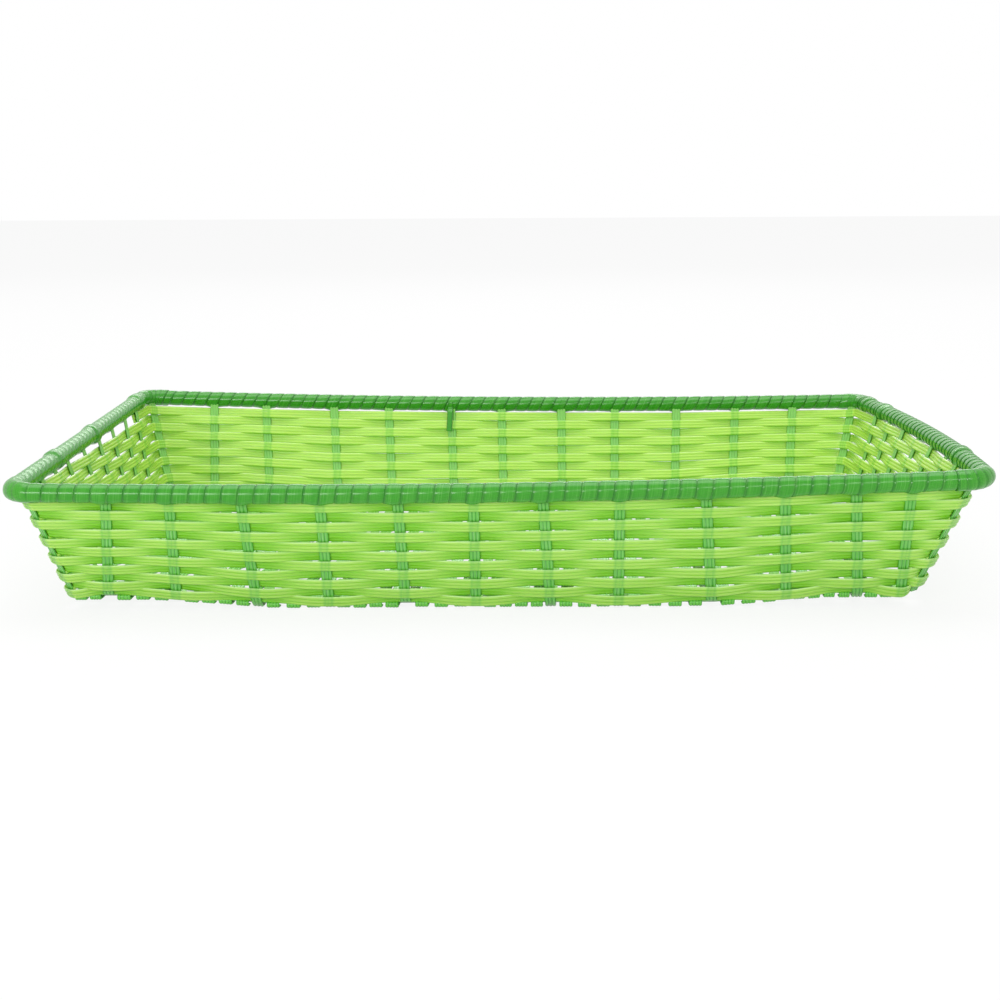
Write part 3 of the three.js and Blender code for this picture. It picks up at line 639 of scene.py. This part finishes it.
def weft_run(front_x, rear_x, side, width):
    """One base strip from the front edge to the rear edge."""
    line = weft_line(side)
    x = mix(front_x, rear_x, (line[:, 0] + BASE_DEPTH / 2) / BASE_DEPTH)
    path = rounded(np.stack([x, line[:, 0], BASE_LEVEL + line[:, 1]], axis=1), 1)
    profile = ribbed(width, WEFT_THICKNESS, WEFT_RIBS, WEFT_RIB_DEPTH, WEFT_RIB_POINTS)
    return strip_parts(path, np.broadcast_to(RIGHTWARD, path.shape), profile)


def weft_bays():
    """The bays between cross stakes: the front and rear places of the left edge and of the right
    edge, the number of strips, and the side on which the first of them starts."""
    half_gap = STAKE_WIDTH / 2 + CLEARANCE
    end_line = BASE_LENGTH / 2 - BEND_RISE - STAKE_THICKNESS - 2 * CLEARANCE
    beside_odd = FRONT_BASE[-1] - half_gap - CLEARANCE
    first_stake = (FRONT_BASE[0] - half_gap, REAR_BASE[0] - half_gap)
    bays = [((-end_line, -end_line), first_stake, END_WEFTS, cross_side(0))]
    for i in range(LAST_CROSS):
        left = (FRONT_BASE[i] + half_gap, REAR_BASE[i] + half_gap)
        right = (FRONT_BASE[i + 1] - half_gap, REAR_BASE[i + 1] - half_gap)
        bays.append((left, right, wefts_after(i), -cross_side(i)))
    left = (FRONT_BASE[LAST_CROSS] + half_gap, REAR_BASE[LAST_CROSS] + half_gap)
    bays.append((left, (beside_odd, end_line), END_WEFTS, -cross_side(LAST_CROSS)))
    return bays


def make_wefts(material):
    """The base strips, one piece for each bay."""
    for number, (left, right, count, side) in enumerate(weft_bays(), 1):
        parts = []
        room = min(right[0] - left[0], right[1] - left[1])
        even_width = min(WEFT_WIDEST, WEFT_FILL * room / count)
        for i in range(count):
            share = (i + 0.5) / count
            width = even_width * rng.uniform(*WEFT_PLAY)
            parts.append(weft_run(mix(left[0], right[0], share), mix(left[1], right[1], share),
                                  side * (-1) ** i, width))
        piece = strips_object(f"base_run_{number:02d}", parts)
        place_piece(piece, material, f"base_weft_{number:02d}")


# Rim

def rim_side(side):
    """The straight length of a side of the rim, and a function from distances along it to the
    middle line and the way out."""
    along, out, _ = SIDES[side]
    half, distance = RIM_LENGTH / 2, RIM_DEPTH / 2
    if is_end(side):
        half, distance = distance, half
    reach = half - RIM_CORNER
    length = 2 * reach
    start = out * distance - along * reach + UP * RIM_LEVEL
    end = out * distance + along * reach + UP * RIM_LEVEL

    def frame_at(place):
        share = (place / length)[:, None]
        return mix(start, end, share), np.broadcast_to(out, (len(place), 3))

    return length, frame_at


def rim_corner(side):
    """The same for the corner that follows a side. Beyond its ends the line runs on straight."""
    along, out, _ = SIDES[side]
    sign = corner_signs(side)
    centre = np.array([sign[0] * (RIM_LENGTH / 2 - RIM_CORNER),
                       sign[1] * (RIM_DEPTH / 2 - RIM_CORNER), RIM_LEVEL])
    length = RIM_CORNER * math.pi / 2

    def frame_at(place):
        share = (place / length)[:, None]
        inside = np.clip(share, 0, 1)
        angle = inside * math.pi / 2
        outs = out * np.cos(angle) + along * np.sin(angle)
        alongs = along * np.cos(angle) - out * np.sin(angle)
        return centre + outs * RIM_CORNER + alongs * (share - inside) * length, outs

    return length, frame_at


def wound(line, turn, width, radius, step, lean, over, stakes=None, collars=()):
    """A strip wound round the rim, from a line's length and frame_at. Each turn starts high on the
    one before and runs down under the next. Both ends are underneath, and the advance is slow over
    the outer face and quick inside. The underside bulges at the stakes, and all of it at collars."""
    length, frame_at = line
    turns = round(length / turn)
    angle = np.linspace(0, turns * 2 * math.pi, turns * RING + 1)
    turned = angle[:, None] - math.pi / 2
    centre = angle / (2 * math.pi) * length / turns - lean * (1 + np.sin(turned[:, 0]))
    across = np.linspace(0, 1, ACROSS)
    crown = WRAP_CROWN * np.sin(across * math.pi) ** CROWN_POWER
    outer = radius + step * (0.5 - across) + crown
    outer[0] -= WRAP_EDGE
    inner = outer[::-1] - WRAP_THICKNESS
    inner[-1] += WRAP_EDGE
    share = np.concatenate([across, across[::-1]])
    place = np.clip(centre[:, None] + (share - 0.5)[None, :] * width, -over, length + over)
    middle, out = frame_at(place.reshape(-1))
    middle, out = middle.reshape(*place.shape, 3), out.reshape(*place.shape, 3)
    reach = np.concatenate([outer, inner])[None, :]
    if stakes is not None:
        near = np.abs(place[..., None] - stakes).min(axis=-1)
        low = np.clip(-np.sin(turned), 0, 1) ** 2
        reach = reach + low * (STAKE_BULGE * smooth(1 - near / STAKE_BULGE_REACH))
    for collar in collars:
        reach = reach + COLLAR_BULGE * smooth(COLLAR_SPREAD - np.abs(place - collar) / COLLAR_REACH)
    rings = relax(middle + out * (reach * np.cos(turned))[..., None]
                  + UP * (reach * np.sin(turned))[..., None])
    face = np.concatenate([np.ones(ACROSS), -np.ones(ACROSS)])
    return rings, {
        "along": np.broadcast_to(angle[:, None] / (2 * math.pi) * TURN_LENGTH, place.shape),
        "share": np.broadcast_to(share[None, :] * 2 - 1, place.shape),
        "face": np.broadcast_to(face[None, :], place.shape),
    }


def make_rim(material):
    """The winding of the four sides, and closer turns round the four corners."""
    for side in ORDER:
        line = rim_side(side)
        half = line[0] / 2
        step = END_SIDE_STEP if is_end(side) else LONG_SIDE_STEP
        part = wound(line, WRAP_TURN, WRAP_TURN + SIDE_OVERLAP, SIDE_RADIUS, step, SIDE_LEAN_IN,
                     SIDE_OVERRUN, stakes=stakes_on(side, RIM_LEVEL) + half,
                     collars=[half + place for place in COLLARS.get(side, ())])
        piece = strips_object(f"rim_winding_{side}", [part])
        place_piece(piece, material, f"rim_wrap_{side}")
    for side in ORDER:
        name = f"{side}_{after(side)}"
        part = wound(rim_corner(side), CORNER_TURN, CORNER_STRIP, CORNER_RADIUS, CORNER_STEP,
                     CORNER_LEAN_IN, CORNER_OVERRUN)
        piece = strips_object(f"rim_corner_{name}", [part])
        place_piece(piece, material, f"rim_wrap_corner_{name}")


def make_tail(material):
    """The loose end of the wrapping strip, hanging down inside the rear wall."""
    along, out, lean = SIDES["rear"]
    wire = out * RIM_DEPTH / 2 + along * -TAIL_PLACE + UP * RIM_LEVEL
    points = around(wire, out, TAIL_RADIUS, TAIL_DEGREES)
    inward = -(out * math.cos(lean) - UP * math.sin(lean))
    lift = SEAT * TAIL_SEAT + WEAVER_THICKNESS / 2 + TAIL_GAP
    for level in np.linspace(RIM_LEVEL - TAIL_START, RIM_LEVEL - TAIL_LENGTH, TAIL_POINTS):
        curl = TAIL_CURL * ((RIM_LEVEL - level) / TAIL_LENGTH) ** 2
        points.append(wall_point("rear", -TAIL_PLACE, -TAIL_PLACE, level) + inward * (lift + curl))
    path = rounded(points, 2)
    profile = ribbed(TAIL_WIDTH, TAIL_THICKNESS, TAIL_RIBS, TAIL_RIB_DEPTH)
    rings, data = strip_parts(path, np.broadcast_to(RIGHTWARD, path.shape), profile)
    piece = strips_object("winding_tail", [(rings, data)])
    place_piece(piece, material, "wrap_tail")


# Materials

def srgb(r, g, b):
    """A colour written as in a picture, 0 to 255, as linear light."""
    def line(v):
        v /= 255
        return v / 12.92 if v <= 0.04045 else ((v + 0.055) / 1.055) ** 2.4
    return (line(r), line(g), line(b), 1)


# The second colour of each plastic is painted shade in the grooves between its ribs, and also the tone
# of its random darker patches
WEAVER_MAIN, WEAVER_SHADE_AND_PATCH, WEAVER_PALE = srgb(168, 215, 88), srgb(130, 197, 40), srgb(204, 234, 146)
# Painted light on the inner face, painted highlight on the upper edge, and painted shade in the
# recesses behind the stakes
WEAVER_INNER_PAINTED_LIGHT, WEAVER_EDGE_HIGHLIGHT, WEAVER_RECESS_SHADE = srgb(206, 240, 98), srgb(220, 242, 188), srgb(114, 192, 14)
# Painted shadow of a stake seen through a pass, outside and inside the tray
STAKE_SHADOW_OUTER, STAKE_SHADOW_INNER = srgb(98, 184, 78), srgb(96, 198, 40)
# The stakes' pale streaks are partly the plastic's own tone and partly a painted sheen
STAKE_MAIN, STAKE_SHADE_AND_PATCH, STAKE_STREAK_AND_SHEEN = srgb(104, 188, 72), srgb(52, 150, 28), srgb(178, 220, 160)
# Painted light and sheen on the stakes' face inside the tray
STAKE_INNER_LIGHT = srgb(152, 216, 104)
BASE_MAIN, BASE_SHADE_AND_PATCH, BASE_PALE = srgb(104, 194, 62), srgb(56, 158, 26), srgb(160, 220, 124)
WRAP_MAIN, WRAP_SHADE_AND_PATCH, WRAP_PALE = srgb(48, 148, 14), srgb(28, 120, 6), srgb(108, 188, 72)
WIRE_DARK, WIRE_BRIGHT = srgb(150, 150, 146), srgb(190, 190, 186)
PLASTIC_IOR, GLOW_RADIUS, GRAIN_DEPTH = 1.5, (0.9, 1.0, 0.6), 0.0002

# Noises. Those along a strip have its scale along and across, then a scale and a detail.
STREAKS, GRAIN = (0.02, 3.0, 2.2, 3.0), (0.05, 5.0, 3.0, 2.0)
PATCHES, WIRE_GRAIN = (34.0, 2.0), (900.0, 3.0)

# Shades: the value where each begins and where it is full, and for some how much of it there is
# First the grooves' painted shade, then the streaks and the patches
GROOVE_SHADE, STREAK, PATCH = (0.1, 0.75), (0.42, 0.7), (0.35, 0.65, 0.0, 0.16)
# The recesses' painted shade, the upper edges' painted highlight, and the stripes of painted shadow
# from the stakes' ribs
RECESS_SHADE_RAMP, UPPER_EDGE_HIGHLIGHT, RIB_SHADE = (-0.55, 0.95), (0.72, 0.95), (-0.4, 0.8, 0.34, 0.5)
# Shares of painted light on the weaver's and the stakes' inner faces, and of the painted highlight on
# the weaver's upper edge
INNER_PAINTED_LIGHT_SHARE, EDGE_HIGHLIGHT_SHARE, STAKE_INNER_LIGHT_SHARE = 0.5, 0.5, 0.6
# How much painted shade the recesses get on the outer face, and its change towards the inner face
RECESS_SHADE_OUTER, RECESS_SHADE_CHANGE = 0.82, -0.68
ROUGH, ROUGH_LEAST, ROUGH_MOST = (0.3, 0.7), 0.85, 1.25
WIRE_SHADE, WIRE_ROUGH = (0.3, 0.7), (0.2, 0.8, 0.3, 0.5)

# Where the painted shadow of a stake behind a pass begins and where it is full, counted from the
# stake's middle, and the spacing of its ribs, whose shadows are painted as stripes
STAKE_SHADOW_REACH, RIB_SPACING = (3.1, 1.9), 1.65


class Nodes:
    """Short names for making and linking a material's nodes."""

    def __init__(self, name):
        self.material = bpy.data.materials.new(name)
        self.material.use_nodes = True
        self.tree = self.material.node_tree
        self.shader = next(n for n in self.tree.nodes if n.type == "BSDF_PRINCIPLED")

    def feed(self, socket, value):
        if isinstance(value, bpy.types.NodeSocket):
            self.tree.links.new(value, socket)
        elif value is not None:
            socket.default_value = value

    def shade(self, name, value):
        self.feed(self.shader.inputs[name], value)

    def value(self, name):
        node = self.tree.nodes.new("ShaderNodeAttribute")
        node.attribute_name = name
        return node.outputs["Fac"]

    def math(self, operation, a, b=None, c=None):
        node = self.tree.nodes.new("ShaderNodeMath")
        node.operation = operation
        for socket, given in zip(node.inputs, (a, b, c)):
            self.feed(socket, given)
        return node.outputs[0]

    def ramp(self, value, low, high, out_low=0.0, out_high=1.0):
        node = self.tree.nodes.new("ShaderNodeMapRange")
        node.interpolation_type = "SMOOTHSTEP"
        for name, given in (("Value", value), ("From Min", low), ("From Max", high),
                            ("To Min", out_low), ("To Max", out_high)):
            self.feed(node.inputs[name], given)
        return node.outputs[0]

    def mixed(self, share, a, b):
        node = self.tree.nodes.new("ShaderNodeMix")
        node.data_type = "RGBA"
        self.feed(node.inputs[0], share)
        self.feed(node.inputs[6], a)
        self.feed(node.inputs[7], b)
        return node.outputs[2]

    def noise(self, vector, scale, detail):
        node = self.tree.nodes.new("ShaderNodeTexNoise")
        self.feed(node.inputs["Vector"], vector)
        node.inputs["Scale"].default_value = scale
        node.inputs["Detail"].default_value = detail
        return node.outputs["Fac"]

    def strip_noise(self, along_scale, share_scale, scale, detail):
        """Noise that is drawn out along a strip."""
        node = self.tree.nodes.new("ShaderNodeCombineXYZ")
        self.feed(node.inputs[0], self.math("MULTIPLY", self.value("along"), along_scale))
        self.feed(node.inputs[1], self.math("MULTIPLY", self.value("share"), share_scale))
        return self.noise(node.outputs[0], scale, detail)

    def place(self):
        return self.tree.nodes.new("ShaderNodeTexCoord").outputs["Object"]

    def bump(self, height, strength, distance):
        node = self.tree.nodes.new("ShaderNodeBump")
        self.feed(node.inputs["Height"], height)
        node.inputs["Strength"].default_value = strength
        node.inputs["Distance"].default_value = distance
        return node.outputs[0]


def plastic(name, main, groove_shade_and_patch, pale, roughness, ribs, glow, streak=0.35, relief=0.25):
    """Ribbed translucent plastic: painted shade darkens the grooves, so the rib tops are paler, with
    fine streaks along the strip and darker patches at random.
    Returns its nodes and its colour, which isn't linked yet."""
    n = Nodes(name)
    rib_angle = n.math("MULTIPLY", n.math("ADD", n.value("share"), 1.0), ribs * math.pi / 2)
    rib = n.math("ABSOLUTE", n.math("SINE", rib_angle))
    streaks = n.strip_noise(*STREAKS)
    patches = n.noise(n.place(), *PATCHES)
    # Painted shade darkens the grooves between the ribs
    colour = n.mixed(n.ramp(rib, *GROOVE_SHADE), groove_shade_and_patch, main)
    colour = n.mixed(n.math("MULTIPLY", n.ramp(streaks, *STREAK), streak), colour, pale)
    colour = n.mixed(n.ramp(patches, *PATCH), colour, groove_shade_and_patch)
    n.shade("Normal", n.bump(n.strip_noise(*GRAIN), relief, GRAIN_DEPTH))
    n.shade("Roughness", n.ramp(streaks, *ROUGH, roughness * ROUGH_LEAST, roughness * ROUGH_MOST))
    n.shade("IOR", PLASTIC_IOR)
    n.shade("Subsurface Weight", glow)
    n.shade("Subsurface Radius", GLOW_RADIUS)
    n.shade("Subsurface Scale", MILLIMETRE)
    return n, colour


def weaver_material():
    """Passes that face the eye are pale with a painted highlight on their upper edge, and those behind
    a stake a saturated darker green as painted shade, less so inside the tray, which is painted paler
    as the brighter lit side. Where a pass lies over a stake, the stake and its ribs show through it as
    painted shadow."""
    n, colour = plastic("WeaverPlastic", WEAVER_MAIN, WEAVER_SHADE_AND_PATCH, WEAVER_PALE,
                        roughness=0.28, ribs=WEAVER_RIBS, glow=0.5)
    inner = n.ramp(n.value("face"), -1.0, 1.0)
    # Painted light: the face inside the tray is paler, as the brighter lit side
    colour = n.mixed(n.math("MULTIPLY", inner, INNER_PAINTED_LIGHT_SHARE), colour, WEAVER_INNER_PAINTED_LIGHT)
    # Painted shade: passes recessed behind a stake turn a saturated darker green
    recess_shade = n.ramp(n.math("MULTIPLY", n.value("swing"), n.value("face")), *RECESS_SHADE_RAMP)
    seen = n.math("SUBTRACT", 1.0, recess_shade)
    # Painted highlight on the upper edge of the passes that are not recessed
    edge = n.math("MULTIPLY", n.ramp(n.value("share"), *UPPER_EDGE_HIGHLIGHT), seen)
    colour = n.mixed(n.math("MULTIPLY", edge, EDGE_HIGHLIGHT_SHARE), colour, WEAVER_EDGE_HIGHLIGHT)
    depth = n.math("MULTIPLY_ADD", inner, RECESS_SHADE_CHANGE, RECESS_SHADE_OUTER)
    colour = n.mixed(n.math("MULTIPLY", recess_shade, depth), colour, WEAVER_RECESS_SHADE)
    # Painted shadow of a stake behind the pass, in stripes from its ribs
    beside = n.value("beside")
    stripes = n.math("COSINE", n.math("MULTIPLY", beside, 2 * math.pi / RIB_SPACING))
    through = n.math("MULTIPLY", n.ramp(beside, *STAKE_SHADOW_REACH), n.ramp(stripes, *RIB_SHADE))
    stake_shadow_tint = n.mixed(inner, STAKE_SHADOW_OUTER, STAKE_SHADOW_INNER)
    n.shade("Base Color", n.mixed(through, colour, stake_shadow_tint))
    return n.material


def stake_material():
    """Green strip, paler on the side that faces into the tray, as painted light and sheen."""
    n, colour = plastic("StakePlastic", STAKE_MAIN, STAKE_SHADE_AND_PATCH, STAKE_STREAK_AND_SHEEN,
                        roughness=0.22, ribs=STAKE_RIBS, glow=0.3)
    # Painted light and sheen on the face inside the tray
    inner = n.ramp(n.value("face"), -1.0, 1.0, 0.0, STAKE_INNER_LIGHT_SHARE)
    n.shade("Base Color", n.mixed(inner, colour, STAKE_INNER_LIGHT))
    return n.material


def base_material():
    n, colour = plastic("BasePlastic", BASE_MAIN, BASE_SHADE_AND_PATCH, BASE_PALE,
                        roughness=0.25, ribs=WEFT_RIBS, glow=0.3)
    n.shade("Base Color", colour)
    return n.material


def wrap_material():
    """Dark green strip without ribs, painted darker at its two edges as shade in the seams between
    turns.
    """
    n, colour = plastic("WrapPlastic", WRAP_MAIN, WRAP_SHADE_AND_PATCH, WRAP_PALE,
                        roughness=0.22, ribs=1, glow=0.1, streak=0.3, relief=0.08)
    n.shade("Base Color", colour)
    return n.material


def wire_material():
    n = Nodes("DrawnWire")
    grain = n.noise(n.place(), *WIRE_GRAIN)
    n.shade("Base Color", n.mixed(n.ramp(grain, *WIRE_SHADE), WIRE_DARK, WIRE_BRIGHT))
    n.shade("Metallic", 1.0)
    n.shade("Roughness", n.ramp(grain, *WIRE_ROUGH))
    return n.material


# Stage, light and camera

FLOOR_REACH, FLOOR_LEVEL, FLOOR_GREY, FLOOR_WHITE = 6.0, -0.0002, 0.9, 0.88
SKY_LIGHT, SKY_SEEN = 0.58, 1.0
# Each lamp's two widths, its place, the point that it faces, and its power in watts
LAMPS = {
    "Overhead": ((2.0, 1.4), (0.0, 0.1, 1.9), (0, 0, 0), 20),
    "FrontStrip": ((1.3, 0.15), (-0.72, -1.75, 0.56), (-0.1, 0, 0.03), 12),
    "FrontSide": ((0.9, 0.08), (0.7, -1.75, 0.85), (0.1, 0, 0.03), 4),
    "RearStrip": ((1.8, 0.3), (0.0, 2.0, 1.15), (0, 0, 0.05), 8),
}
# The camera's lens and sensor are in millimetres and its angles in degrees
LENS, SENSOR, CLIP = 61.34, 36, (0.01, 50)
CAMERA_PLACE, YAW, PITCH, ROLL = (0.0030, -0.8975, 0.2036), 0.412, 11.084, -0.299


def seen_rays(tree):
    """1 for rays from the camera and for those that are mirrored or pass through, otherwise 0."""
    rays = tree.nodes.new("ShaderNodeLightPath")
    share = rays.outputs["Is Camera Ray"]
    for name in ("Is Glossy Ray", "Is Transmission Ray"):
        either = tree.nodes.new("ShaderNodeMath")
        either.operation = "MAXIMUM"
        tree.links.new(share, either.inputs[0])
        tree.links.new(rays.outputs[name], either.inputs[1])
        share = either.outputs[0]
    return share


def make_floor():
    """A wide pale floor that looks nearly white, less the tray's soft shadow."""
    mesh = bpy.data.meshes.new("Floor")
    corners = [(x * FLOOR_REACH, y * FLOOR_REACH, FLOOR_LEVEL)
               for x, y in ((-1, -1), (1, -1), (1, 1), (-1, 1))]
    mesh.from_pydata(corners, [], [(0, 1, 2, 3)])
    floor = bpy.data.objects.new("Floor", mesh)
    bpy.context.scene.collection.objects.link(floor)
    material = bpy.data.materials.new("PaleFloor")
    material.use_nodes = True
    tree = material.node_tree
    tree.nodes.clear()
    output = tree.nodes.new("ShaderNodeOutputMaterial")
    diffuse = tree.nodes.new("ShaderNodeBsdfDiffuse")
    diffuse.inputs["Color"].default_value = (FLOOR_GREY, FLOOR_GREY, FLOOR_GREY, 1)
    white = tree.nodes.new("ShaderNodeEmission")
    seen = tree.nodes.new("ShaderNodeMath")
    seen.operation = "MULTIPLY"
    seen.inputs[1].default_value = FLOOR_WHITE
    tree.links.new(seen_rays(tree), seen.inputs[0])
    both = tree.nodes.new("ShaderNodeMixShader")
    tree.links.new(seen.outputs[0], both.inputs[0])
    tree.links.new(diffuse.outputs[0], both.inputs[1])
    tree.links.new(white.outputs[0], both.inputs[2])
    tree.links.new(both.outputs[0], output.inputs["Surface"])
    mesh.materials.append(material)


def make_world():
    """An even white world, brighter where it is seen than as light."""
    world = bpy.data.worlds.new("World")
    bpy.context.scene.world = world
    world.use_nodes = True
    tree = world.node_tree
    tree.nodes.clear()
    output = tree.nodes.new("ShaderNodeOutputWorld")
    background = tree.nodes.new("ShaderNodeBackground")
    level = tree.nodes.new("ShaderNodeMapRange")
    tree.links.new(seen_rays(tree), level.inputs["Value"])
    level.inputs["To Min"].default_value = SKY_LIGHT
    level.inputs["To Max"].default_value = SKY_SEEN
    background.inputs["Color"].default_value = (1, 1, 1, 1)
    tree.links.new(level.outputs[0], background.inputs["Strength"])
    tree.links.new(background.outputs[0], output.inputs["Surface"])


def make_lamps():
    for name, (size, place, target, power) in LAMPS.items():
        data = bpy.data.lights.new(name, "AREA")
        data.shape = "RECTANGLE"
        data.size, data.size_y = size
        data.energy = power
        lamp = bpy.data.objects.new(name, data)
        bpy.context.scene.collection.objects.link(lamp)
        lamp.location = place
        lamp.rotation_mode = "QUATERNION"
        lamp.rotation_quaternion = (Vector(target) - Vector(place)).to_track_quat("-Z", "Y")


def make_camera():
    """The photograph's camera, from a fit to the rim's outline."""
    data = bpy.data.cameras.new("Camera")
    data.sensor_width = SENSOR
    data.lens = LENS
    data.clip_start, data.clip_end = CLIP
    camera = bpy.data.objects.new("Camera", data)
    bpy.context.scene.collection.objects.link(camera)
    turn = Matrix.Rotation(math.radians(YAW), 4, "Z")
    turn = turn @ Matrix.Rotation(math.pi / 2 - math.radians(PITCH), 4, "X")
    turn = turn @ Matrix.Rotation(math.radians(ROLL), 4, "Z")
    camera.matrix_world = Matrix.Translation(CAMERA_PLACE) @ turn
    bpy.context.scene.camera = camera


def main():
    make_weaver(weaver_material())
    stake = stake_material()
    make_cross_stakes(stake)
    make_odd_stake(stake)
    make_long_stakes(stake)
    make_corner_stakes(stake)
    make_edge_rods(stake)
    make_wefts(base_material())
    wrap = wrap_material()
    make_rim(wrap)
    make_tail(wrap)
    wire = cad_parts["rim_wire"]
    wire.data.materials.clear()
    wire.data.materials.append(wire_material())
    make_floor()
    make_world()
    make_lamps()
    make_camera()
    bpy.context.scene.view_settings.view_transform = "Standard"


main()
